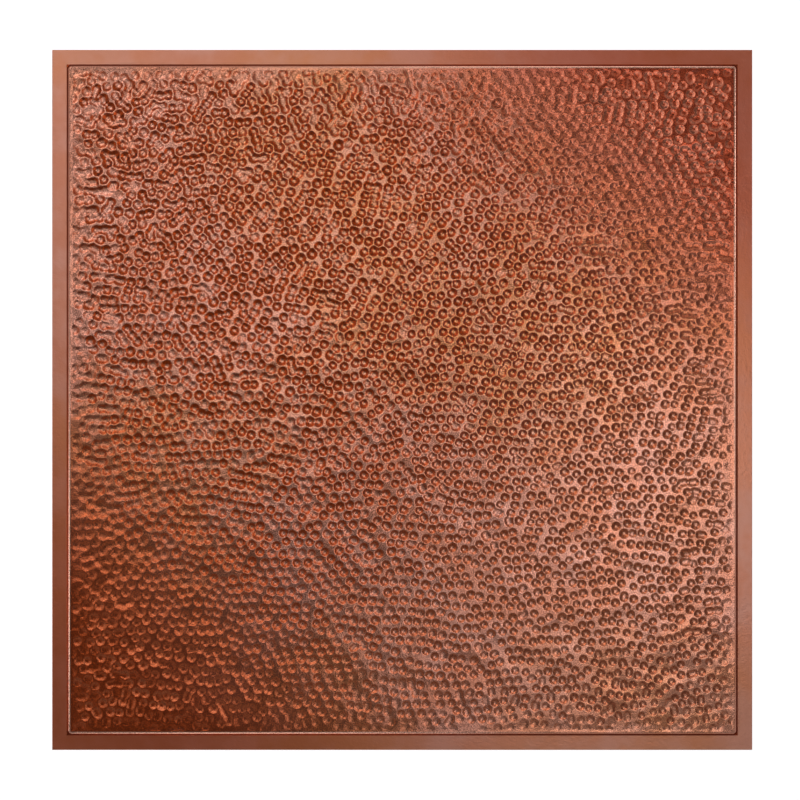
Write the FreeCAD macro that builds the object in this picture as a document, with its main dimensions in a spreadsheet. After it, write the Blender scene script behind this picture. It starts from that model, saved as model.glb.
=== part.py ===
import FreeCAD, Part
import os
import Sketcher
from FreeCAD import Vector

# A square lay-in ceiling tile pressed from one thin sheet of metal. It lies face up on the back of its
# flat lip: the origin is the middle of the lip's back, +X and +Y run along two sides and +Z comes out of
# the decorated face. A step of one drafted wall between two bends lifts the field above the lip. The
# sheet keeps its thickness through both bends, which are concentric front and back.

doc = FreeCAD.newDocument("ceiling_tile")

sheet = doc.addObject("Spreadsheet::Sheet", "sizes")
driving = (
    ("tile_side", 603.25),  # side of the whole tile, over the lip
    ("sheet_gauge", 0.3),  # thickness of the sheet
    ("lip_flat", 12.4),  # flat part of the lip, from the edge to the first bend
    ("rise", 6.35),  # from the front of the lip to the front of the field
    ("wall_angle", 75),  # slope of the step's wall from the lip, in degrees
    ("foot_bend", 0.8),  # inside radius of the bend at the lip
    ("shoulder_bend", 0.8),  # inside radius of the bend at the field
    ("corner_inside", 1.5),  # plan radius of the flat field's corners
)
for row, (alias, value) in enumerate(driving, start=1):
    sheet.set("A%d" % row, alias)
    sheet.set("B%d" % row, str(value))
    sheet.setAlias("B%d" % row, alias)
doc.recompute()

# Width of the step in plan, from the start of the foot bend to the end of the shoulder bend.
STEP = (
    "((sizes.foot_bend + sizes.shoulder_bend + sizes.sheet_gauge) * tan(sizes.wall_angle / 2)"
    " + sizes.rise / tan(sizes.wall_angle))"
)
HALF = "sizes.tile_side / 2"
LIP_EDGE = HALF + " - sizes.lip_flat"  # half side of the lip's opening
FIELD_EDGE = LIP_EDGE + " - " + STEP  # half side of the flat field


def plane(body, role):
    for feature in body.Origin.OriginFeatures:
        if feature.Role == role:
            return feature
    raise ValueError(role)


def sketch_on(body, role, name):
    sketch = body.newObject("Sketcher::SketchObject", name)
    sketch.AttachmentSupport = [(plane(body, role), "")]
    sketch.MapMode = "FlatFace"
    return sketch


def sized(sketch, kind, args, name, expression, value):
    """Adds one named dimension to a sketch and ties it to the sheet."""
    index = sketch.addConstraint(Sketcher.Constraint(kind, *args, value))
    sketch.renameConstraint(index, name)
    sketch.setExpression("Constraints." + name, expression)
    return index


def line(sketch, x0, y0, x1, y1):
    return sketch.addGeometry(Part.LineSegment(Vector(x0, y0, 0), Vector(x1, y1, 0)), False)


def arc(sketch, cx, cy, radius, start, end):
    circle = Part.Circle(Vector(cx, cy, 0), Vector(0, 0, 1), radius)
    start, end = FreeCAD.Units.Quantity("%g deg" % start), FreeCAD.Units.Quantity("%g deg" % end)
    return sketch.addGeometry(
        Part.ArcOfCircle(circle, start.getValueAs("rad").Value, end.getValueAs("rad").Value), False
    )


def square(sketch, half, expression, prefix):
    """Draws a square centred on the sketch's origin."""
    a = line(sketch, -half, -half, half, -half)
    b = line(sketch, half, -half, half, half)
    c = line(sketch, half, half, -half, half)
    d = line(sketch, -half, half, -half, -half)
    for first, second in ((a, b), (b, c), (c, d), (d, a)):
        sketch.addConstraint(Sketcher.Constraint("Coincident", first, 2, second, 1))
    for side in (a, c):
        sketch.addConstraint(Sketcher.Constraint("Horizontal", side))
    for side in (b, d):
        sketch.addConstraint(Sketcher.Constraint("Vertical", side))
    sketch.addConstraint(Sketcher.Constraint("Symmetric", a, 1, c, 1, -1, 1))
    sized(sketch, "DistanceX", (a, 1, a, 2), prefix + "_width", "2 * (" + expression + ")", 2 * half)
    sized(sketch, "DistanceY", (b, 1, b, 2), prefix + "_depth", "2 * (" + expression + ")", 2 * half)


def rounded_square(sketch, half, radius, half_expression, radius_expression, prefix):
    """Draws a centred square with tangent arcs at its corners. Its right side starts on the X axis."""
    flat = half - radius
    parts = [line(sketch, half, 0, half, flat)]
    turns = (
        (flat, flat, 0, flat, half, -flat, half),
        (-flat, flat, 90, -half, flat, -half, -flat),
        (-flat, -flat, 180, -flat, -half, flat, -half),
        (flat, -flat, 270, half, -flat, half, 0),
    )
    for cx, cy, start, x0, y0, x1, y1 in turns:
        parts.append(arc(sketch, cx, cy, radius, start, start + 90))
        parts.append(line(sketch, x0, y0, x1, y1))
    for first, second in zip(parts, parts[1:]):
        sketch.addConstraint(Sketcher.Constraint("Tangent", first, 2, second, 1))
    sketch.addConstraint(Sketcher.Constraint("Coincident", parts[-1], 2, parts[0], 1))
    sketch.addConstraint(Sketcher.Constraint("PointOnObject", parts[0], 1, -1))
    for side in (parts[0], parts[4], parts[8]):
        sketch.addConstraint(Sketcher.Constraint("Vertical", side))
    for side in (parts[2], parts[6]):
        sketch.addConstraint(Sketcher.Constraint("Horizontal", side))
    for corner in (parts[3], parts[5], parts[7]):
        sketch.addConstraint(Sketcher.Constraint("Equal", parts[1], corner))
    sized(sketch, "Radius", (parts[1],), prefix + "_corner", radius_expression, radius)
    sized(sketch, "DistanceX", (-1, 1, parts[0], 1), prefix + "_right", half_expression, half)
    sized(sketch, "DistanceX", (parts[4], 1, -1, 1), prefix + "_left", half_expression, half)
    sized(sketch, "DistanceY", (-1, 1, parts[2], 1), prefix + "_back", half_expression, half)
    sized(sketch, "DistanceY", (parts[6], 1, -1, 1), prefix + "_front", half_expression, half)
    return parts


# Sizes that only place the first drawing of each sketch: the sheet's cells drive the final ones.
side, gauge, lip, rise, slope, foot, shoulder, corner = [value for _, value in driving]
sin_slope = Vector(1, 0, 0)
sin_slope = FreeCAD.Rotation(Vector(0, 0, 1), slope).multVec(sin_slope)
cos_slope, sin_slope = sin_slope.x, sin_slope.y
bends = foot + shoulder + gauge
step = bends * (1 - cos_slope) / sin_slope + rise * cos_slope / sin_slope
lip_edge = side / 2 - lip
field_edge = lip_edge - step

body = doc.addObject("PartDesign::Body", "pressed_sheet")
body.Label = "pressed_sheet"

# The lip: a flat square frame with a round-cornered opening.
lip_sketch = sketch_on(body, "XY_Plane", "lip_outline")
square(lip_sketch, side / 2, HALF, "edge")
rounded_square(
    lip_sketch, lip_edge, corner + step, LIP_EDGE, "sizes.corner_inside + " + STEP, "opening"
)
lip_pad = body.newObject("PartDesign::Pad", "lip")
lip_pad.Profile = lip_sketch
lip_pad.setExpression("Length", "sizes.sheet_gauge")
doc.recompute()

# The step: its section, foot bend, wall and shoulder bend, goes once round the field's outline.
path = sketch_on(body, "XY_Plane", "step_path")
rounded_square(path, field_edge, corner, FIELD_EDGE, "sizes.corner_inside", "path")

section = sketch_on(body, "XZ_Plane", "step_section")
foot_x, foot_y = lip_edge, gauge + foot
top_x, top_y = field_edge, rise - shoulder
out_x, out_y = -sin_slope, -cos_slope  # from the foot bend's centre to the wall
foot_front = arc(section, foot_x, foot_y, foot, 270 - slope, 270)
foot_back = arc(section, foot_x, foot_y, foot + gauge, 270 - slope, 270)
top_front = arc(section, top_x, top_y, shoulder + gauge, 90 - slope, 90)
top_back = arc(section, top_x, top_y, shoulder, 90 - slope, 90)
wall_front = line(
    section,
    foot_x + out_x * foot,
    foot_y + out_y * foot,
    top_x - out_x * (shoulder + gauge),
    top_y - out_y * (shoulder + gauge),
)
wall_back = line(
    section,
    foot_x + out_x * (foot + gauge),
    foot_y + out_y * (foot + gauge),
    top_x - out_x * shoulder,
    top_y - out_y * shoulder,
)
lip_end = line(section, foot_x, 0, foot_x, gauge)
field_end = line(section, top_x, rise, top_x, rise + gauge)
join = Sketcher.Constraint
for constraint in (
    join("Tangent", foot_front, 1, wall_front, 1),
    join("Tangent", foot_back, 1, wall_back, 1),
    join("Tangent", wall_front, 2, top_front, 1),
    join("Tangent", wall_back, 2, top_back, 1),
    join("Coincident", foot_front, 3, foot_back, 3),
    join("Coincident", top_front, 3, top_back, 3),
    join("Coincident", foot_back, 2, lip_end, 1),
    join("Coincident", foot_front, 2, lip_end, 2),
    join("Coincident", top_back, 2, field_end, 1),
    join("Coincident", top_front, 2, field_end, 2),
    join("Vertical", lip_end),
    join("Vertical", field_end),
    join("PointOnObject", foot_front, 3, lip_end),
    join("PointOnObject", top_front, 3, field_end),
    join("PointOnObject", lip_end, 1, -1),
):
    section.addConstraint(constraint)
sized(section, "DistanceX", (-1, 1, lip_end, 1), "lip_edge", LIP_EDGE, lip_edge)
sized(section, "DistanceY", (-1, 1, field_end, 1), "rise", "sizes.rise", rise)
sized(section, "DistanceY", (lip_end, 1, lip_end, 2), "gauge", "sizes.sheet_gauge", gauge)
sized(section, "Radius", (foot_front,), "foot_bend", "sizes.foot_bend", foot)
sized(section, "Radius", (top_back,), "shoulder_bend", "sizes.shoulder_bend", shoulder)
sized(section, "DistanceX", (-1, 1, field_end, 1), "field_edge", FIELD_EDGE, field_edge)
doc.recompute()

step_pipe = body.newObject("PartDesign::AdditivePipe", "step")
step_pipe.Profile = section
step_pipe.Spine = (path, ["Edge%d" % (n + 1) for n in range(len(path.Shape.Edges))])
doc.recompute()

# The field: the flat sheet that closes the step. The hammered relief is finer than this.
field_sketch = sketch_on(body, "XY_Plane", "field_outline")
field_sketch.setExpression("AttachmentOffset.Base.z", "sizes.rise")
rounded_square(field_sketch, field_edge, corner, FIELD_EDGE, "sizes.corner_inside", "field")
field_pad = body.newObject("PartDesign::Pad", "field")
field_pad.Profile = field_sketch
field_pad.setExpression("Length", "sizes.sheet_gauge")
body.Tip = field_pad
doc.recompute()

faults = [
    "%s: %s" % (item.Name, ", ".join(item.State))
    for item in doc.Objects
    if "Invalid" in item.State or "Error" in item.State
]
if faults:
    raise RuntimeError("; ".join(faults))

os.makedirs("parts", exist_ok=True)
for node in (body,):
    shape = node.Shape
    if shape.isNull() or not shape.isValid() or len(shape.Solids) != 1:
        raise RuntimeError(node.Label + " is not one valid solid")
for node in (body,):
    node.Shape.exportStep("parts/%s.step" % node.Label)
    box = node.Shape.BoundBox
    print(
        "%s: %.3f x %.3f x %.3f mm, from z %.3f, volume %.1f mm3, %d faces"
        % (
            node.Label,
            box.XLength,
            box.YLength,
            box.ZLength,
            box.ZMin,
            node.Shape.Volume,
            len(node.Shape.Faces),
        )
    )
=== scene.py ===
"""A square pressed metal ceiling tile with a hammered copper finish, lying face up on a white floor.

The tile is one sheet, so it is one closed mesh, "hammered_sheet". Its side and its rise come from the
frame's box, and its lip and step repeat the CAD model's section. The field carries the hammered relief, a
scatter of round and drawn-out pits. The mesh has the pits as geometry, and the copper material works out
their slopes again for a smooth shine.
"""

import math

import bpy
import numpy as np
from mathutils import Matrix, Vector
from mathutils.geometry import delaunay_2d_cdt
from mathutils.kdtree import KDTree


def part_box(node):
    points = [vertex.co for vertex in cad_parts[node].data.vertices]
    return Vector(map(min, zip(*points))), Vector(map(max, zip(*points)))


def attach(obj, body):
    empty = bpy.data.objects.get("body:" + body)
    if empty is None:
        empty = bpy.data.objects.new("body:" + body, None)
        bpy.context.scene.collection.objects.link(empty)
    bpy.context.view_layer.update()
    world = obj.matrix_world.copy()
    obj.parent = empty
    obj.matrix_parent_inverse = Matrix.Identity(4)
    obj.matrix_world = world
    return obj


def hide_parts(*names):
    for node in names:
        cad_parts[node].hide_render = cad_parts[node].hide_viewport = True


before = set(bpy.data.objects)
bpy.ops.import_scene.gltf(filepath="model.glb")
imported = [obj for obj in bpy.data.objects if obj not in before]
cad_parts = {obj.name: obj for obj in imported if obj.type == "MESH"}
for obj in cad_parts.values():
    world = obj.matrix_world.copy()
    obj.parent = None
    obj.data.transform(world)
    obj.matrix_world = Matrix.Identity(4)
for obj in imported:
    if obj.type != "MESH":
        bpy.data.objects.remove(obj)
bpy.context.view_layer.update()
low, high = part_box("pressed_sheet")

MM = 0.001
WHOLE_TURN = 2 * math.pi

# The pressed section, in metres from the lip's back, which lies on the floor.
HALF_SIDE = (high[0] - low[0]) / 2
TOP = high[2]
SHEET = 0.3 * MM
LIP_FLAT = 12.4 * MM
WALL_ANGLE = math.radians(75)
BEND = 0.8 * MM  # inside radius of both bends
CORNER = 1.5 * MM  # plan radius of the flat field's corners
EDGE_ROUND = 0.06 * MM  # of the sheared edge
RISE = TOP - SHEET
STEP_WIDTH = (2 * BEND + SHEET) * math.tan(WALL_ANGLE / 2) + RISE / math.tan(WALL_ANGLE)
LIP_EDGE = HALF_SIDE - LIP_FLAT  # where the foot's bend starts
FOOT_CORNER = CORNER + STEP_WIDTH  # plan radius of the corners there
FIELD_EDGE = LIP_EDGE - STEP_WIDTH  # where the shoulder's bend ends

# Where the pits lie. They start as a honeycomb.
SEED = 24
PITCH = 9.3 * MM
SPARE_PITS = 8  # beyond the field's edge, from where the waves may bring some in
SHEAR_WAVES = (0.035, 0.045, 0.055, 0.07, 0.09, 0.12, 0.17, 0.25)
SHEAR_SLOPE = 0.13
SHAKE = 0.12 * PITCH
LEAST_GAP = 0.79 * PITCH  # closer pits are pushed apart
PUSHES = 6
PUSH = 0.4  # of what is missing, each time
EDGE_GAP = 1.3 * MM  # from the flat field's edge to the first centre

# How the pits look.
PIT_RADIUS = 6.5 * MM  # the widest, at the upper left
NARROW_RADIUS = 4.6 * MM  # the widest at the lower right
RADIUS_SHARES = (0.83, 1.0)
PIT_DEPTH = 1.3 * MM  # the deepest
DEPTH_SHARES = (0.60, 1.0)
# A pit's depth follows left^3 (2.5 - 1.5 left), and left goes from 0 at its rim to 1 in its middle.
PROFILE = (2.5, 1.5)
SOFT_BORDER = 26 * MM  # over which the pits get deeper from the step
BORDER_LOSS = 0.45  # of the depth, at the step
LOWER_LEFT_LOSS = 0.3  # of the depth, at the lower left
LOWER_LEFT_REACH = 1.6 * FIELD_EDGE
DRAWN_DEPTH = 0.85  # of a drawn-out pit, against a round one
DRAWN_SHARE = 0.10  # of the pits
DRAWN_LENGTHS = (0.4, 1.4)  # mm, half of what they are drawn out
NEIGHBOUR_REACH = 1.35 * PITCH
STRETCHED_BORDER = 45 * MM  # here the draw of the step has pulled pits out towards the edge
BORDER_DRAWN_SHARE = 0.35
BORDER_LENGTHS = (0.5, 2.0)  # mm
BORDER_WANDER = 0.25  # of the direction in which they are drawn
LONGEST = BORDER_LENGTHS[1] * MM
FADE = 3 * MM  # over which the pits start from the level shoulder

# The sheet between the pits. It reaches TOP where the swell is highest.
SWELL_SLOPE = 0.016  # of each of the slow waves that the hammering left in the sheet
SWELL_WAVES = (16 * MM, 19 * MM, 22 * MM, 25 * MM, 28 * MM, 32 * MM, 36 * MM, 41 * MM, 47 * MM)
SWELL_BEND = 6 * MM  # how far the waves' crests wander to each side
SWELL_BEND_WAVE = 110 * MM
SWELL_BEND_STARTS = [1.0, 2.0]
SWELL_CREST = 0.6  # of the waves' greatest sum: what would stand higher is level
SWELL_FADE = 6 * MM  # over which the swell starts from the step
WRINKLE_SLOPE = 0.045  # of the wrinkles that run in from the step
WRINKLE_GAIN = 1.6
WRINKLE_WAVES = (10.5 * MM, 13 * MM, 16 * MM)
WRINKLE_REACH = 110 * MM
WRINKLE_DRIFT = 0.35  # how far a wrinkle wanders, in its own wave lengths
WRINKLE_DRIFT_WAVE = 4.3  # its own wave lengths from one such bend to the next
SLOPE_STEP = 0.2 * MM  # for working out the swell's slope

# The mesh. The back's is coarser, so it keeps more than the sheet's thickness from the front's relief.
SIDE_STEPS = 64
CORNER_STEPS = 8
BEND_STEPS = 6
RING_POINTS = 4 * (SIDE_STEPS + CORNER_STEPS)
OUTER_SUPPORT = 0.4 * MM  # from the sheet's edge to a ring that keeps the lip's shade level
INNER_SUPPORT = 0.5 * MM  # from the foot's bend to another
MARGIN = 1.5 * MM  # from the flat field's edge to the relief's first mesh point
MESH_PITS = 8  # pits that may shape one mesh point
FRONT_WALLS = ((2.3 * MM, 7),)  # rings of points in each pit: radius and count
BACK_WALLS = ()
FRONT_SPACING, BACK_SPACING = 1.3 * MM, 2.15 * MM  # the least between two points
FRONT_FILL, BACK_FILL = 3.0 * MM, 4.4 * MM  # and for the points that fill what is left
FILL_PITCH = 0.8  # of the fill's honeycomb, against that
SADDLE_REACH = 2.2 * PITCH  # between two neighbours
BACK_GAP = 0.6 * MM  # from the front's relief to the back's
BACK_FADE = 5 * MM
NO_DISTANCE = 1e-9
DOUBLES_PER_METRE = 1e8  # points are one if they round to the same count of these
NEAR_PITS = 4  # pits that the material works out on each face
FACE_REACH = 1.5 * MM  # from a face's middle to its corners

rng = np.random.default_rng(SEED)


def smooth(x):
    """Goes from 0 to 1 as x does, level at both ends."""
    x = np.clip(x, 0, 1)
    return x * x * (3 - 2 * x)


def edge_distance(points):
    """How far inside the flat field's edge each point lies."""
    return FIELD_EDGE - np.abs(points[:, :2]).max(axis=1)


# Pits


def hexagons(gap, reach):
    """The points of a honeycomb over a square of this half side."""
    row = gap * math.sqrt(3) / 2
    rows, places = int(reach / row) + 1, int(reach / gap) + 1
    return [
        ((i + 0.5 * (j % 2)) * gap, j * row)
        for j in range(-rows, rows + 1)
        for i in range(-places, places + 1)
    ]


def plan_tree(points):
    """A search tree over places in plan."""
    tree = KDTree(len(points))
    for i, (x, y) in enumerate(points):
        tree.insert((x, y, 0), i)
    tree.balance()
    return tree


def nearby(points, reach):
    """For each point, the places within reach of it, its own among them."""
    tree = plan_tree(points)
    return [tree.find_range((x, y, 0), reach) for x, y in points]


def sheared(points):
    """The points moved by slow waves, which bend the honeycomb's rows and part them into chains."""
    bent = points.copy()
    for wave in SHEAR_WAVES:
        turn = rng.uniform(0, WHOLE_TURN)
        along = points @ np.array([math.cos(turn), math.sin(turn)]) / wave * WHOLE_TURN
        size = SHEAR_SLOPE * wave / WHOLE_TURN
        shear = size * np.sin(along + rng.uniform(0, WHOLE_TURN))
        bent += shear[:, None] * [-math.sin(turn), math.cos(turn)]
    return bent


def push_apart(points):
    """Moves points that are closer than the least gap away from each other, a little at a time."""
    for _ in range(PUSHES):
        shift = np.zeros_like(points)
        for i, hits in enumerate(nearby(points, LEAST_GAP)):
            for other, j, distance in hits:
                if j != i and distance > 0:
                    away = (points[i][0] - other[0], points[i][1] - other[1])
                    shift[i] += np.array(away) / distance * (LEAST_GAP - distance) * PUSH
        points += shift


def scatter_centres():
    """The pits' middles: a honeycomb, sheared, shaken and pushed apart."""
    points = sheared(np.array(hexagons(PITCH, FIELD_EDGE + SPARE_PITS * PITCH)))
    points += rng.normal(0, SHAKE, points.shape)
    push_apart(points)
    return points[np.abs(points).max(axis=1) < FIELD_EDGE - EDGE_GAP]


def widest_spread(offsets):
    """The direction in which the neighbours at these offsets lie furthest apart."""
    spreads = sum(np.outer(v, v) for v in offsets) if offsets else np.eye(2)
    return np.linalg.eigh(spreads)[1][:, 1]


def towards_edge(x, y):
    """The direction of the nearest side, give or take a little."""
    direction = np.array([1.0, 0.0]) if abs(x) > abs(y) else np.array([0.0, 1.0])
    direction += rng.normal(0, BORDER_WANDER, 2)
    return direction / np.linalg.norm(direction)


def draw_out(centres):
    """Half the drawn-out length of each pit, as a vector: zero for a round one."""
    axes = np.zeros_like(centres)
    stretched = edge_distance(centres) < STRETCHED_BORDER
    hits = nearby(centres, NEIGHBOUR_REACH)
    for i, (x, y) in enumerate(centres):
        if rng.random() > (BORDER_DRAWN_SHARE if stretched[i] else DRAWN_SHARE):
            continue
        direction = widest_spread([(x - other[0], y - other[1]) for other, j, _ in hits[i] if j != i])
        length = rng.uniform(*DRAWN_LENGTHS) * MM
        if stretched[i]:
            direction = towards_edge(x, y)
            length = rng.uniform(*BORDER_LENGTHS) * MM
        axes[i] = direction * length
    return axes


def pit_sizes():
    """The radius and the depth of every pit."""
    lean = (centres[:, 0] - centres[:, 1]) / (4 * FIELD_EDGE) + 0.5
    radii = PIT_RADIUS + (NARROW_RADIUS - PIT_RADIUS) * lean
    radii *= rng.uniform(*RADIUS_SHARES, len(centres))
    depths = PIT_DEPTH * rng.uniform(*DEPTH_SHARES, len(centres)) * radii / PIT_RADIUS
    depths *= 1 - BORDER_LOSS + BORDER_LOSS * smooth(edge_distance(centres) / SOFT_BORDER)
    depths *= 1 - LOWER_LEFT_LOSS * smooth(-centres.sum(axis=1) / LOWER_LEFT_REACH)
    depths[np.linalg.norm(axes, axis=1) > 0] *= DRAWN_DEPTH
    return radii, depths


centres = scatter_centres()
axes = draw_out(centres)
swell_turns = rng.uniform(0, math.pi, len(SWELL_WAVES))
swell_starts = rng.uniform(0, WHOLE_TURN, len(SWELL_WAVES))
wrinkle_starts = rng.uniform(0, WHOLE_TURN, (2, len(WRINKLE_WAVES)))
radii, depths = pit_sizes()


def nearest_pits(points, reach, count):
    """The indices of up to count pits within reach of each point, nearest first, -1 where none."""
    tree = plan_tree(centres)
    found = np.full((len(points), count), -1)
    for i, (x, y) in enumerate(points[:, :2]):
        hits = [j for _, j, distance in tree.find_n((x, y, 0), count) if distance < reach]
        found[i, : len(hits)] = hits
    return found


def pit_depths(points, found):
    """How far the pits take each point under the ridges."""
    total = np.zeros(len(points))
    for column in found.T:
        some = column >= 0
        pits = column[some]
        a = axes[pits]
        q = points[some, :2] - centres[pits]
        length = (a**2).sum(axis=1)
        along = np.divide((q * a).sum(axis=1), length, out=np.zeros(len(q)), where=length > 0)
        q = q - np.clip(along, -1, 1)[:, None] * a
        left = np.clip(1 - (q**2).sum(axis=1) / radii[pits] ** 2, 0, 1)
        total[some] += depths[pits] * left**3 * (PROFILE[0] - PROFILE[1] * left)
    return total


def swell_height(points):
    """The height of the slow waves and the wrinkles at each point, up and down from 0."""
    phase = points[:, 1::-1] * WHOLE_TURN / SWELL_BEND_WAVE + SWELL_BEND_STARTS
    at = points[:, :2] + SWELL_BEND * np.sin(phase)
    height = np.zeros(len(points))
    for wave, turn, start in zip(SWELL_WAVES, swell_turns, swell_starts):
        along = at @ np.array([math.cos(turn), math.sin(turn)])
        height += SWELL_SLOPE * wave / WHOLE_TURN * np.cos(along * WHOLE_TURN / wave + start)
    return height + wrinkle_height(at)


def wrinkle_height(at):
    """The height of the wrinkles that run in from the step, square to it."""
    height = np.zeros(len(at))
    for across in (0, 1):
        inwards = at[:, 1 - across]
        strength = smooth(1 - (FIELD_EDGE - np.abs(inwards)) / WRINKLE_REACH)
        for wave, start in zip(WRINKLE_WAVES, wrinkle_starts[across]):
            turns = inwards * WHOLE_TURN / (WRINKLE_DRIFT_WAVE * wave)
            along = at[:, across] + WRINKLE_DRIFT * wave * np.sin(turns + start)
            size = WRINKLE_SLOPE * wave / WHOLE_TURN * strength / len(WRINKLE_WAVES)
            height += size * WRINKLE_GAIN * np.cos(along * WHOLE_TURN / wave + 3 * start)
    return height


def swell_slope(points):
    """The slope of the swell at each point, as a vector in plan."""
    step = SLOPE_STEP
    right = swell_height(points + [step, 0, 0]) - swell_height(points - [step, 0, 0])
    up = swell_height(points + [0, step, 0]) - swell_height(points - [0, step, 0])
    return np.c_[right, up, np.zeros(len(points))] / (2 * step)


def field_height(points):
    """The front's height over the floor on the field."""
    greatest = sum(SWELL_SLOPE * wave / WHOLE_TURN for wave in SWELL_WAVES)
    swell = swell_height(points) - greatest * SWELL_CREST
    swell = np.minimum(swell, 0) * smooth(edge_distance(points) / SWELL_FADE)
    found = nearest_pits(points, PIT_RADIUS + LONGEST, MESH_PITS)
    return TOP + swell - pit_depths(points, found) * smooth(edge_distance(points) / FADE)


# Mesh points


def spread(candidates, taken, gap):
    """Keeps the candidates that lie at least gap from the taken points and from each other."""
    grid = {}
    for x, y in taken:
        grid.setdefault((int(x // gap), int(y // gap)), []).append((x, y))
    kept = []
    for x, y in candidates:
        i, j = int(x // gap), int(y // gap)
        close = any(
            (x - px) ** 2 + (y - py) ** 2 < gap * gap
            for di in (-1, 0, 1)
            for dj in (-1, 0, 1)
            for px, py in grid.get((i + di, j + dj), ())
        )
        if not close:
            grid.setdefault((i, j), []).append((x, y))
            kept.append((x, y))
    return kept


def inside_field(points):
    """The points that lie on the field and clear of its edge."""
    limit = FIELD_EDGE - MARGIN
    return [(x, y) for x, y in points if max(abs(x), abs(y)) < limit]


def bottoms():
    """The middle of every pit, and both ends of each drawn-out one."""
    ends = [tuple(c + s * a) for c, a in zip(centres, axes) if a.any() for s in (-1, 1)]
    return [tuple(c) for c in centres] + ends


def rings_round(radius, count):
    """A ring of points round every pit, drawn out with it."""
    points = []
    for (cx, cy), (ax, ay) in zip(centres, axes):
        drawn = math.hypot(ax, ay) > 0
        turn = math.atan2(ay, ax) if drawn else rng.uniform(0, WHOLE_TURN)
        for k in range(count):
            angle = turn + WHOLE_TURN * (k + 0.5) / count
            end = math.copysign(1, math.cos(angle - turn)) if drawn else 0
            x = cx + end * ax + radius * math.cos(angle)
            y = cy + end * ay + radius * math.sin(angle)
            points.append((x, y))
    return points


def ridge_points():
    """Where three pits meet, and the saddle between each two neighbours."""
    _, edges, faces, *_ = delaunay_2d_cdt([Vector(c) for c in centres], [], [], 0, NO_DISTANCE)
    pairs = [centres[list(edge)] for edge in edges]
    corners = [tuple(centres[list(face)].mean(axis=0)) for face in faces]
    saddles = [tuple(pair.mean(axis=0)) for pair in pairs if math.dist(*pair) < SADDLE_REACH]
    return corners, saddles


def relief_points(walls, gap, fill_gap, border):
    """Mesh points of the relief: the pits' bottoms, rings on their walls, the ridges, then a fill."""
    kept = spread(inside_field(bottoms()), border, gap)
    for radius, count in walls:
        kept += spread(inside_field(rings_round(radius, count)), border + kept, gap)
    for points in ridge_points():
        kept += spread(inside_field(points), border + kept, gap)
    fill = hexagons(fill_gap * FILL_PITCH, FIELD_EDGE)
    return kept + spread(inside_field(fill), border + kept, fill_gap)


def ring(half, radius):
    """Points round a square of this half side and corner radius, in the same order for every ring."""
    flat = half - radius
    side = [(half, flat * (2 * k / SIDE_STEPS - 1)) for k in range(SIDE_STEPS + 1)]
    for k in range(1, CORNER_STEPS):
        angle = math.pi / 2 * k / CORNER_STEPS
        side.append((flat + radius * math.cos(angle), flat + radius * math.sin(angle)))
    quarters = ((1, 0), (0, 1), (-1, 0), (0, -1))
    return [(x * cos - y * sin, x * sin + y * cos) for cos, sin in quarters for x, y in side]


def bend(centre_u, centre_z, radius, start, end):
    """Section points along an arc, as distance inwards from the lip's edge and height."""
    angles = [math.radians(start + (end - start) * k / BEND_STEPS) for k in range(BEND_STEPS + 1)]
    return [(centre_u + radius * math.cos(a), centre_z + radius * math.sin(a)) for a in angles]


def section(front):
    """The step's section from the lip to the field, on the front or the back of the sheet."""
    wall = math.degrees(WALL_ANGLE)
    foot = BEND if front else BEND + SHEET
    shoulder = BEND + SHEET if front else BEND
    foot_arc = bend(0, SHEET + BEND, foot, -90, wall - 90)
    shoulder_arc = bend(STEP_WIDTH, RISE - BEND, shoulder, 90 + wall, 90)
    return foot_arc + shoulder_arc


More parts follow.
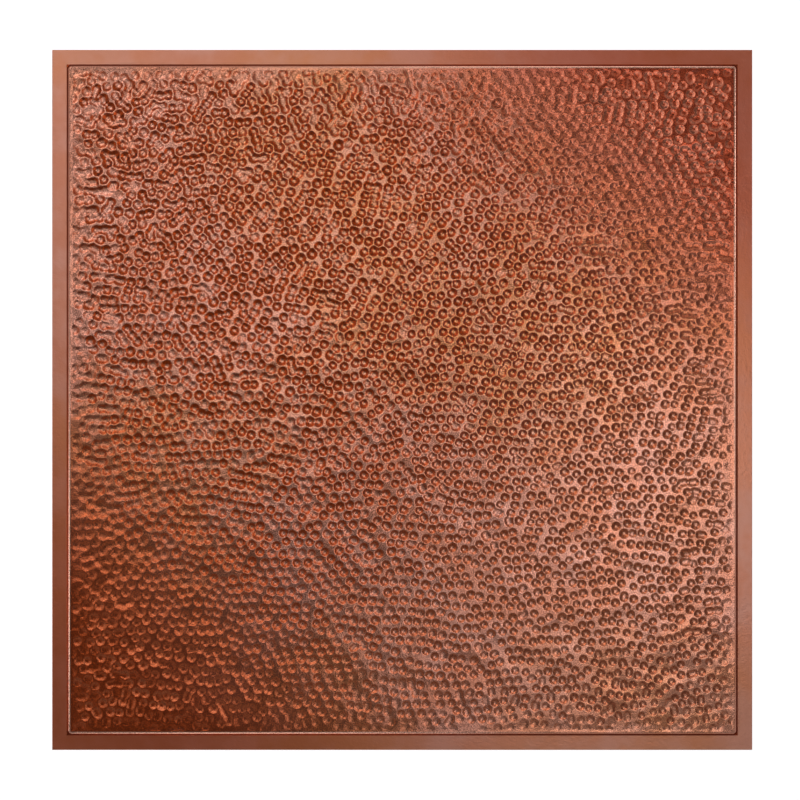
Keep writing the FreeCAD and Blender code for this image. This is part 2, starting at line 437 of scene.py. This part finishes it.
class Sheet:
    """The sheet's mesh as it grows. A face's facing is 1 on the relief, -1 on its back, 0 elsewhere."""

    def __init__(self):
        self.points, self.faces, self.facing = [], [], []

    def add_ring(self, u, z):
        """A ring u inwards from the lip's inner edge. Outside that edge the corners keep their radius."""
        start = len(self.points)
        plan = ring(LIP_EDGE - u, FOOT_CORNER - max(u, 0))
        self.points.extend((x, y, z) for x, y in plan)
        return start

    def add_square(self, half, z):
        """A ring with sharp corners, in which the points of each corner's arc fall together."""
        start = len(self.points)
        turn = LIP_EDGE - FOOT_CORNER
        for x, y in ring(LIP_EDGE, FOOT_CORNER):
            if abs(x) > turn and abs(y) > turn:
                self.points.append((math.copysign(half, x), math.copysign(half, y), z))
            elif abs(x) > abs(y):
                self.points.append((math.copysign(half, x), y * half / LIP_EDGE, z))
            else:
                self.points.append((x * half / LIP_EDGE, math.copysign(half, y), z))
        return start

    def add_rings(self, front):
        """The rings of the front or the back, from the sheet's edge over the lip and the step."""
        level = SHEET if front else 0
        edge = SHEET - EDGE_ROUND if front else EDGE_ROUND
        rings = [self.add_square(HALF_SIDE, edge), self.add_square(HALF_SIDE - EDGE_ROUND, level)]
        rings.append(self.add_square(HALF_SIDE - OUTER_SUPPORT, level))
        rings.append(self.add_ring(-INNER_SUPPORT, level))
        return rings + [self.add_ring(u, z) for u, z in section(front)]

    def join(self, outer, inner, upwards):
        """A band of faces from one ring to the next."""
        for k in range(RING_POINTS):
            n = (k + 1) % RING_POINTS
            quad = (outer + k, outer + n, inner + n, inner + k)
            self.faces.append(quad if upwards else quad[::-1])
            self.facing.append(0)

    def add_field(self, edge, facing, walls, gap, fill_gap):
        """The relief, or the back of it, inside the ring whose points start at edge."""
        border = ring(FIELD_EDGE, CORNER)
        inner = relief_points(walls, gap, fill_gap, border)
        loop = [(k, (k + 1) % RING_POINTS) for k in range(RING_POINTS)]
        plan = [Vector(p) for p in border + inner]
        _, _, triangles, origins, *_ = delaunay_2d_cdt(plan, loop, [], 0, NO_DISTANCE)
        xy = np.array(inner)
        heights = field_height(xy)
        if facing < 0:
            heights -= SHEET + (BACK_GAP - SHEET) * smooth(edge_distance(xy) / BACK_FADE)
        first = len(self.points) - RING_POINTS
        self.points.extend((x, y, z) for (x, y), z in zip(inner, heights))
        place = [o[0] + (edge if o[0] < RING_POINTS else first) for o in origins]
        for a, b, c in triangles:
            self.faces.append((place[a], place[b], place[c])[::facing])
            self.facing.append(facing)


def build_sheet():
    """Both sides' lips and steps, the sheared edge between them, and the relief with its back."""
    sheet = Sheet()
    front, back = sheet.add_rings(True), sheet.add_rings(False)
    for rings, upwards in ((front, True), (back, False)):
        for outer, inner in zip(rings, rings[1:]):
            sheet.join(outer, inner, upwards)
    sheet.join(back[0], front[0], True)
    sheet.add_field(front[-1], 1, FRONT_WALLS, FRONT_SPACING, FRONT_FILL)
    sheet.add_field(back[-1], -1, BACK_WALLS, BACK_SPACING, BACK_FILL)
    return sheet


def drop_doubles(sheet):
    """Joins the points that fall together in the lip's corners, and drops the faces that close up."""
    seen, place, points = {}, [], []
    for point in sheet.points:
        key = tuple(round(c * DOUBLES_PER_METRE) for c in point)
        if key not in seen:
            seen[key] = len(points)
            points.append(point)
        place.append(seen[key])
    faces, facing = [], []
    for face, side in zip(sheet.faces, sheet.facing):
        loop = list(dict.fromkeys(place[v] for v in face))
        if len(loop) > 2:
            faces.append(loop)
            facing.append(side)
    return points, faces, facing


def set_attribute(mesh, name, kind, domain, values):
    """Gives each of the mesh's faces or points a number or a vector, which the material reads."""
    attribute = mesh.attributes.new(name, kind, domain)
    key = "vector" if kind == "FLOAT_VECTOR" else "value"
    attribute.data.foreach_set(key, np.asarray(values, np.float32).ravel())


def mark_relief(mesh, points, faces, facing):
    """Gives the material what it needs: each face's side and nearest pits, and the swell's slope."""
    middles = np.array([points[list(face)].mean(axis=0) for face in faces])
    found = nearest_pits(middles, PIT_RADIUS + LONGEST + FACE_REACH, NEAR_PITS)
    found[edge_distance(middles) < -PIT_RADIUS] = -1
    set_attribute(mesh, "facing", "FLOAT", "FACE", facing)
    for k in range(NEAR_PITS):
        some = found[:, k] >= 0
        pick = np.where(some, found[:, k], 0)
        pit = np.c_[centres[pick], depths[pick] * some]
        axis = np.c_[axes[pick], radii[pick]]
        set_attribute(mesh, f"pit{k}", "FLOAT_VECTOR", "FACE", pit)
        set_attribute(mesh, f"axis{k}", "FLOAT_VECTOR", "FACE", axis)
    inner = smooth(edge_distance(points) / SWELL_FADE)[:, None]
    set_attribute(mesh, "swell", "FLOAT_VECTOR", "POINT", swell_slope(points) * inner)


def make_sheet():
    """The tile itself, without its material."""
    points, faces, facing = drop_doubles(build_sheet())
    mesh = bpy.data.meshes.new("hammered_sheet")
    mesh.from_pydata(points, [], faces)
    mark_relief(mesh, np.array(points), faces, facing)
    mesh.shade_smooth()
    mesh.validate()
    piece = bpy.data.objects.new("hammered_sheet", mesh)
    bpy.context.scene.collection.objects.link(piece)
    return piece


# Material

# Noises: scale per metre, detail and roughness. Each range is where a noise starts and ends to count.
PATCHES, PATCH_RANGE = (3.5, 1.0, 0.5), (0.38, 0.62)
CLOUDS, CLOUD_RANGE = (26.0, 3.0, 0.6), (0.35, 0.65)
SPECKS, SPECK_RANGE = (1000.0, 1.0, 0.6), (0.38, 0.62)
DARKEST_SPECK, PALEST_SPECK = -0.27, 0.18

# Slow buckles of the thin sheet, a ripple and a fine grain: noise and height.
BUMPS = (
    ((14.0, 1.0, 0.5), 0.35 * MM),
    ((300.0, 1.0, 0.5), 0.13 * MM),
    ((700.0, 2.0, 0.7), 0.11 * MM),
)

# Colours. The level copper between the pits has two tones, each with plain and pale clouds.
ORANGE = ((0.74, 0.28, 0.135, 1), (0.76, 0.32, 0.20, 1))
PINK = ((0.74, 0.28, 0.175, 1), (0.78, 0.35, 0.255, 1))
WALLS = ((0.44, 0.060, 0.008, 1), (0.60, 0.17, 0.08, 1))  # painted shade on the pits' walls: elsewhere, and lighter at the lower right
SHADED_CORNER_LEVEL = ((0.55, 0.09, 0.022, 1), (0.53, 0.09, 0.038, 1))  # painted shade on the level copper: lower left, upper right
# Painted highlight on the pits' walls in the same two corners.
LIT_CORNER_WALLS = ((0.66, 0.16, 0.065, 1), (0.72, 0.22, 0.13, 1))
# Painted shade in the crease at the step's foot.
CREASE_SHADE = (0.30, 0.045, 0.010, 1)
# Painted highlight along the step's shoulder.
SHOULDER_HIGHLIGHT = (0.85, 0.45, 0.33, 1)

# Where the colours change in plan, in metres: x + y, of which the first two take the size, then x - y.
CORNER_RANGE = (0.18, 0.50)
HIGHLIGHT_RANGE = (0.08, 0.34)
UPPER_RANGE = (-0.01, 0.01)
LOWER_RIGHT_RANGE = (-0.05, 0.35)
# The share of the shoulder's painted highlight that is kept near the diagonal from upper left to lower
# right.
LEAST_HIGHLIGHT = 0.1
LIP_CORNER = 0.65  # how much of the corners' painted shade the lip has
WALL_RANGE = (0.06, 0.27)  # the slopes at which the level copper ends and a wall's painted shade starts

# Across the step, inwards from the flat field's edge: what changes from where to where.
LIP_RANGE = (-STEP_WIDTH, -STEP_WIDTH + 1.0 * MM)
CREASE_RANGE = (-STEP_WIDTH - 0.2 * MM, -STEP_WIDTH + 0.3 * MM)
SHOULDER_RANGE = (-1.4 * MM, -0.9 * MM)
CORNER_FADE = (-1.0 * MM, 0.0)
SPECK_FADE = (0.0, 1.0 * MM)
HIGHLIGHT_FADE = (0.3 * MM, 0.9 * MM)
RELIEF_FADE = (0.5 * FADE, FADE)

# Roughness of the field, what its clouds add, and what the lip adds.
ROUGHNESS, CLOUD_ROUGHNESS, LIP_ROUGHNESS = 0.13, 0.04, 0.18

# Sockets of the Mix node, which have the same names for every data type.
VECTOR_A, VECTOR_B, VECTOR_RESULT = 4, 5, 1
COLOUR_A, COLOUR_B, COLOUR_RESULT = 6, 7, 2


class Nodes:
    """Adds nodes to a tree and joins them."""

    def __init__(self, tree):
        self.tree = tree

    def add(self, kind, **settings):
        node = self.tree.nodes.new(kind)
        for key, value in settings.items():
            setattr(node, key, value)
        return node

    def feed(self, value, socket):
        if isinstance(value, bpy.types.NodeSocket):
            self.tree.links.new(value, socket)
        else:
            socket.default_value = value

    def math(self, operation, *values, clamp=False):
        node = self.add("ShaderNodeMath", operation=operation, use_clamp=clamp)
        for value, socket in zip(values, node.inputs):
            self.feed(value, socket)
        return node.outputs[0]

    def vector(self, operation, *values):
        node = self.add("ShaderNodeVectorMath", operation=operation)
        for value, socket in zip(values, node.inputs):
            self.feed(value, socket)
        return node.outputs["Value" if operation in ("DOT_PRODUCT", "LENGTH") else "Vector"]

    def scaled(self, vector, factor):
        node = self.add("ShaderNodeVectorMath", operation="SCALE")
        self.feed(vector, node.inputs[0])
        self.feed(factor, node.inputs["Scale"])
        return node.outputs["Vector"]

    def noise(self, where, scale, detail, roughness):
        node = self.add("ShaderNodeTexNoise")
        self.feed(where, node.inputs["Vector"])
        node.inputs["Scale"].default_value = scale
        node.inputs["Detail"].default_value = detail
        node.inputs["Roughness"].default_value = roughness
        return node.outputs[0]

    def ramp(self, value, start, end, low=0.0, high=1.0):
        node = self.add("ShaderNodeMapRange", interpolation_type="SMOOTHSTEP")
        for v, socket in zip((value, start, end, low, high), node.inputs):
            self.feed(v, socket)
        return node.outputs[0]

    def mix(self, factor, one, two):
        node = self.add("ShaderNodeMix", data_type="RGBA")
        self.feed(factor, node.inputs["Factor"])
        self.feed(one, node.inputs[COLOUR_A])
        self.feed(two, node.inputs[COLOUR_B])
        return node.outputs[COLOUR_RESULT]

    def parts(self, vector):
        node = self.add("ShaderNodeSeparateXYZ")
        self.feed(vector, node.inputs[0])
        return node.outputs

    def attribute(self, name, output):
        node = self.add("ShaderNodeAttribute", attribute_type="GEOMETRY", attribute_name=name)
        return node.outputs[output]


def new_material(name):
    """An empty material, its nodes and its output's surface."""
    material = bpy.data.materials.new(name)
    material.use_nodes = True
    material.node_tree.nodes.clear()
    n = Nodes(material.node_tree)
    return material, n, n.add("ShaderNodeOutputMaterial").inputs["Surface"]


def pit_group():
    """The slope of one pit's profile. Pit is its centre and depth, Axis its axis and radius."""
    group = bpy.data.node_groups.new("one_pit", "ShaderNodeTree")
    for name in ("Point", "Pit", "Axis"):
        group.interface.new_socket(name, in_out="INPUT", socket_type="NodeSocketVector")
    group.interface.new_socket("Slope", in_out="OUTPUT", socket_type="NodeSocketVector")
    n = Nodes(group)
    given = n.add("NodeGroupInput")
    result = n.add("NodeGroupOutput")
    depth = n.parts(given.outputs["Pit"])["Z"]
    radius = n.parts(given.outputs["Axis"])["Z"]
    wide = n.math("MULTIPLY", radius, radius)
    centre = n.vector("MULTIPLY", given.outputs["Pit"], (1, 1, 0))
    axis = n.vector("MULTIPLY", given.outputs["Axis"], (1, 1, 0))
    q = n.vector("SUBTRACT", given.outputs["Point"], centre)
    along = n.math("DIVIDE", n.vector("DOT_PRODUCT", q, axis), n.vector("DOT_PRODUCT", axis, axis))
    along = n.math("MINIMUM", n.math("MAXIMUM", along, -1.0), 1.0)
    q = n.vector("SUBTRACT", q, n.scaled(axis, along))
    share = n.math("DIVIDE", n.vector("DOT_PRODUCT", q, q), wide)
    left = n.math("SUBTRACT", 1.0, share, clamp=True)
    # The profile's slope is depth left^2 (3 + 12 share) q / radius^2.
    steep = n.math("MULTIPLY", n.math("MULTIPLY", left, left), depth)
    bowl = n.math("MULTIPLY", share, 8 * PROFILE[1])
    bowl = n.math("ADD", bowl, 2 * (3 * PROFILE[0] - 4 * PROFILE[1]))
    steep = n.math("DIVIDE", n.math("MULTIPLY", steep, bowl), wide)
    n.feed(n.scaled(q, steep), result.inputs["Slope"])
    return group


def relief_slope(n, point):
    """The relief's slope, from the pits nearest to each face and the swell."""
    group = pit_group()
    slope = None
    for k in range(NEAR_PITS):
        one = n.add("ShaderNodeGroup", node_tree=group)
        n.feed(point, one.inputs["Point"])
        n.feed(n.attribute(f"pit{k}", "Vector"), one.inputs["Pit"])
        n.feed(n.attribute(f"axis{k}", "Vector"), one.inputs["Axis"])
        slope = one.outputs["Slope"] if k == 0 else n.vector("ADD", slope, one.outputs["Slope"])
    return n.vector("ADD", slope, n.attribute("swell", "Vector"))


def relief_normal(n, slope, side, relief):
    """The normal that goes with the slope on the relief. Elsewhere the mesh shapes the shine."""
    tilted = n.scaled(n.vector("SUBTRACT", (0, 0, 1), slope), side)
    turned = n.add("ShaderNodeVectorTransform", vector_type="NORMAL")
    turned.convert_from, turned.convert_to = "OBJECT", "WORLD"
    n.feed(n.vector("NORMALIZE", tilted), turned.inputs[0])
    normal = n.add("ShaderNodeMix", data_type="VECTOR")
    n.feed(relief, normal.inputs["Factor"])
    n.feed(n.add("ShaderNodeNewGeometry").outputs["Normal"], normal.inputs[VECTOR_A])
    n.feed(turned.outputs[0], normal.inputs[VECTOR_B])
    return n.vector("NORMALIZE", normal.outputs[VECTOR_RESULT])


def bumped(n, point, normal):
    """The normal with the bumps that are too low or too fine for the mesh."""
    height = None
    for noise, size in BUMPS:
        one = n.math("MULTIPLY", n.noise(point, *noise), size)
        height = one if height is None else n.math("ADD", height, one)
    bump = n.add("ShaderNodeBump")
    bump.inputs["Strength"].default_value = 1.0
    bump.inputs["Distance"].default_value = 1.0
    n.feed(height, bump.inputs["Height"])
    n.feed(normal, bump.inputs["Normal"])
    return bump.outputs["Normal"]


def tones(n, point, clouds):
    """The level copper's two tones, in broad patches."""
    patches = n.ramp(n.noise(point, *PATCHES), *PATCH_RANGE)
    return n.mix(patches, n.mix(clouds, *ORANGE), n.mix(clouds, *PINK))


def sheet_colour(n, bright, x, y, inwards, steep):
    """Bright where the copper is level, with painted shade on the pits' walls, lighter at the lower right;
    in the lower left and upper right corners, painted shade darkens and reddens the level copper and a
    painted highlight pales the walls.
    """
    diagonal = n.math("ADD", x, y)
    from_diagonal = n.math("ABSOLUTE", diagonal)
    # Painted shade on the level copper and a painted highlight on the walls, in the lower left and upper
    # right corners.
    corner = n.ramp(from_diagonal, *CORNER_RANGE)
    corner = n.math("MULTIPLY", corner, n.ramp(inwards, *CORNER_FADE, LIP_CORNER, 1.0))
    upper = n.ramp(diagonal, *UPPER_RANGE)
    lower_right = n.ramp(n.math("SUBTRACT", x, y), *LOWER_RIGHT_RANGE)
    bright = n.mix(corner, bright, n.mix(upper, *SHADED_CORNER_LEVEL))
    dark = n.mix(corner, n.mix(lower_right, *WALLS), n.mix(upper, *LIT_CORNER_WALLS))
    # Painted shade: the pits' walls are darkened by their slope.
    colour = n.mix(n.ramp(steep, *WALL_RANGE), bright, dark)
    return step_colour(n, colour, inwards, from_diagonal)


def step_colour(n, colour, inwards, from_diagonal):
    """Adds painted shade in the crease and a painted highlight along the shoulder, least at the upper left
    and lower right.
    """
    at_shoulder = n.ramp(inwards, *SHOULDER_RANGE)
    # Painted shade in the crease at the step's foot.
    crease = n.ramp(inwards, *CREASE_RANGE)
    crease = n.math("MULTIPLY", crease, n.math("SUBTRACT", 1.0, at_shoulder))
    # Painted highlight along the shoulder, weaker near the diagonal from the upper left to the lower
    # right.
    painted_highlight = n.math("MULTIPLY", at_shoulder, n.ramp(inwards, *HIGHLIGHT_FADE, 1.0, 0.0))
    painted_highlight = n.math("MULTIPLY", painted_highlight, n.ramp(from_diagonal, *HIGHLIGHT_RANGE, LEAST_HIGHLIGHT, 1.0))
    return n.mix(painted_highlight, n.mix(crease, colour, CREASE_SHADE), SHOULDER_HIGHLIGHT)


def specked(n, colour, point, inwards):
    """Adds the field's grit: specks about the size of one pixel."""
    specks = n.ramp(n.noise(point, *SPECKS), *SPECK_RANGE, DARKEST_SPECK, PALEST_SPECK)
    specks = n.math("MULTIPLY", specks, n.ramp(inwards, *SPECK_FADE))
    return n.scaled(colour, n.math("ADD", specks, 1.0))


def copper():
    """The hammered copper finish."""
    material, n, surface = new_material("hammered_copper")
    shader = n.add("ShaderNodeBsdfPrincipled")
    n.feed(shader.outputs[0], surface)
    place = n.add("ShaderNodeTexCoord").outputs["Object"]
    point = n.vector("MULTIPLY", place, (1, 1, 0))
    x, y, _ = n.parts(place)
    outwards = n.math("MAXIMUM", n.math("ABSOLUTE", x), n.math("ABSOLUTE", y))
    inwards = n.math("SUBTRACT", FIELD_EDGE, outwards)
    facing = n.attribute("facing", "Fac")
    on_relief = n.math("ABSOLUTE", facing)
    side = n.math("ADD", facing, n.math("SUBTRACT", 1.0, on_relief))
    relief = n.math("MULTIPLY", n.ramp(inwards, *RELIEF_FADE), on_relief)

    slope = relief_slope(n, point)
    steep = n.math("MULTIPLY", n.vector("LENGTH", slope), relief)
    normal = bumped(n, point, relief_normal(n, slope, side, relief))
    n.feed(normal, shader.inputs["Normal"])

    clouds = n.ramp(n.noise(point, *CLOUDS), *CLOUD_RANGE)
    colour = sheet_colour(n, tones(n, point, clouds), x, y, inwards, steep)
    n.feed(specked(n, colour, point, inwards), shader.inputs["Base Color"])

    lip = n.ramp(inwards, *LIP_RANGE, 1.0, 0.0)
    rough = n.math("ADD", n.math("MULTIPLY", clouds, CLOUD_ROUGHNESS), ROUGHNESS)
    rough = n.math("ADD", rough, n.math("MULTIPLY", lip, LIP_ROUGHNESS))
    n.feed(rough, shader.inputs["Roughness"])
    shader.inputs["Metallic"].default_value = 1.0
    shader.inputs["Coat Weight"].default_value = 0.2
    shader.inputs["Coat IOR"].default_value = 1.5
    shader.inputs["Coat Roughness"].default_value = 0.06
    return material


# Floor, light and camera

FLOOR_REACH = 6.0
FLOOR_COLOUR = (0.8, 0.8, 0.8, 1)
FLOOR_GLOW = 0.7  # seen by the camera and in the metal, and lights nothing

# The world's strength near the horizon and overhead, and the sines of the angles between which it changes.
WORLD_LOW, WORLD_HIGH = 0.42, 0.12
WORLD_RANGE = (0.30, 0.65)

# Soft boxes, each straight above the part of the field that mirrors it: place, size, radiance.
OVERHEAD_HEIGHT = 1.0
OVERHEAD = (
    ("over_upper_left", -0.14, 0.13, 0.28, 1.0),
    ("over_top", -0.02, 0.27, 0.28, 0.78),
    ("over_left", -0.28, 0.02, 0.28, 0.26),
    ("over_right", 0.28, 0.05, 0.28, 1.2),
    ("over_lower_right", 0.30, -0.15, 0.20, 1.25),
    ("over_bottom", 0.12, -0.26, 0.28, 0.52),
)

# A ring of larger, dimmer boxes round them, which the pits' walls mirror: from the right, anticlockwise.
RING = (0.08, 0.34, 0.45, 0.62, 0.42, 0.12, 0.12, 0.18)
RING_RADIUS = 0.75
RING_AIM = 0.15  # how far from the tile's middle each one is aimed
RING_BOX = 0.53

# A box higher up at the upper left, which every pit's lower right wall mirrors: place, size, radiance.
HIGH = ((-0.62, 0.72, 2.0), 0.6, 0.85)

# Low strips for the step's bends: place, width, radiance. Each is aimed square across the tile.
LOW_HEIGHT = 0.5
LOW_AIM = 0.2  # over the tile's middle line
LOW_DEPTH = 0.4
LOW = (
    ("low_left", -1.25, -0.20, 0.26, 4.5),
    ("low_right", 1.25, 0.24, 0.14, 5.0),
    ("low_bottom", -0.17, -1.25, 0.30, 3.0),
    ("low_top", 0.18, 1.25, 0.34, 2.0),
)

PICTURE = 800  # pixels
TILE_IN_PICTURE = 700  # pixels along a side
CENTRE_IN_PICTURE = (402.2, 399.9)
CAMERA_HEIGHT = 4.0
SENSOR = 36  # mm


def floor_material():
    """Matt and pale, and as bright as a white backdrop to the camera and in mirrors."""
    material, n, surface = new_material("white_floor")
    matt = n.add("ShaderNodeBsdfDiffuse")
    matt.inputs["Color"].default_value = FLOOR_COLOUR
    glow = n.add("ShaderNodeEmission")
    path = n.add("ShaderNodeLightPath")
    seen = n.math("MAXIMUM", path.outputs["Is Camera Ray"], path.outputs["Is Glossy Ray"])
    seen = n.math("MAXIMUM", seen, path.outputs["Is Transmission Ray"])
    n.feed(n.math("MULTIPLY", seen, FLOOR_GLOW), glow.inputs["Strength"])
    both = n.add("ShaderNodeAddShader")
    n.feed(matt.outputs[0], both.inputs[0])
    n.feed(glow.outputs[0], both.inputs[1])
    n.feed(both.outputs[0], surface)
    return material


def make_floor():
    """The floor that the tile lies on."""
    mesh = bpy.data.meshes.new("floor")
    corners = [(x * FLOOR_REACH, y * FLOOR_REACH, 0) for x, y in ((-1, -1), (1, -1), (1, 1), (-1, 1))]
    mesh.from_pydata(corners, [], [(0, 1, 2, 3)])
    mesh.materials.append(floor_material())
    floor = bpy.data.objects.new("floor", mesh)
    bpy.context.scene.collection.objects.link(floor)


def lamp(name, place, target, width, depth, radiance):
    """A soft box that shines towards target: radiance 1 is seen as white in a mirror."""
    data = bpy.data.lights.new(name, "AREA")
    data.shape = "RECTANGLE"
    data.size, data.size_y = width, depth
    data.energy = radiance * math.pi * width * depth
    light = bpy.data.objects.new(name, data)
    light.location = place
    aim = Vector(target) - Vector(place)
    light.rotation_euler = aim.to_track_quat("-Z", "Y").to_euler()
    light.visible_camera = False
    bpy.context.scene.collection.objects.link(light)


def make_world():
    """A plain white sky, dimmer overhead."""
    world = bpy.data.worlds.new("studio")
    world.use_nodes = True
    n = Nodes(world.node_tree)
    background = world.node_tree.nodes["Background"]
    background.inputs["Color"].default_value = (1, 1, 1, 1)
    height = n.parts(n.add("ShaderNodeTexCoord").outputs["Generated"])["Z"]
    strength = n.ramp(height, *WORLD_RANGE, WORLD_LOW, WORLD_HIGH)
    n.feed(strength, background.inputs["Strength"])
    bpy.context.scene.world = world


def make_lamps():
    """All the soft boxes."""
    for name, x, y, size, radiance in OVERHEAD:
        lamp(name, (x, y, OVERHEAD_HEIGHT), (x, y, 0), size, size, radiance)
    for k, radiance in enumerate(RING):
        turn = WHOLE_TURN * k / len(RING)
        x, y = math.cos(turn), math.sin(turn)
        place = (RING_RADIUS * x, RING_RADIUS * y, OVERHEAD_HEIGHT)
        lamp(f"ring_{k}", place, (RING_AIM * x, RING_AIM * y, 0), RING_BOX, RING_BOX, radiance)
    place, size, radiance = HIGH
    lamp("high_upper_left", place, (0, 0, 0), size, size, radiance)
    for name, x, y, width, radiance in LOW:
        target = (0, y, LOW_AIM) if abs(x) > abs(y) else (x, 0, LOW_AIM)
        lamp(name, (x, y, LOW_HEIGHT), target, width, LOW_DEPTH, radiance)


def make_camera():
    """Straight above, so that the tile has its place and size in the picture."""
    pixel = 2 * HALF_SIDE / TILE_IN_PICTURE
    data = bpy.data.cameras.new("camera")
    data.sensor_width = SENSOR
    data.lens = data.sensor_width * (CAMERA_HEIGHT - SHEET) / (PICTURE * pixel)
    camera = bpy.data.objects.new("camera", data)
    camera.location = (
        (PICTURE / 2 - CENTRE_IN_PICTURE[0]) * pixel,
        (CENTRE_IN_PICTURE[1] - PICTURE / 2) * pixel,
        CAMERA_HEIGHT,
    )
    bpy.context.scene.collection.objects.link(camera)
    bpy.context.scene.camera = camera


bpy.context.scene.view_settings.view_transform = "Standard"
sheet = make_sheet()
sheet.data.materials.append(copper())
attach(sheet, "root")
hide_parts("pressed_sheet")
make_floor()
make_world()
make_lamps()
make_camera()
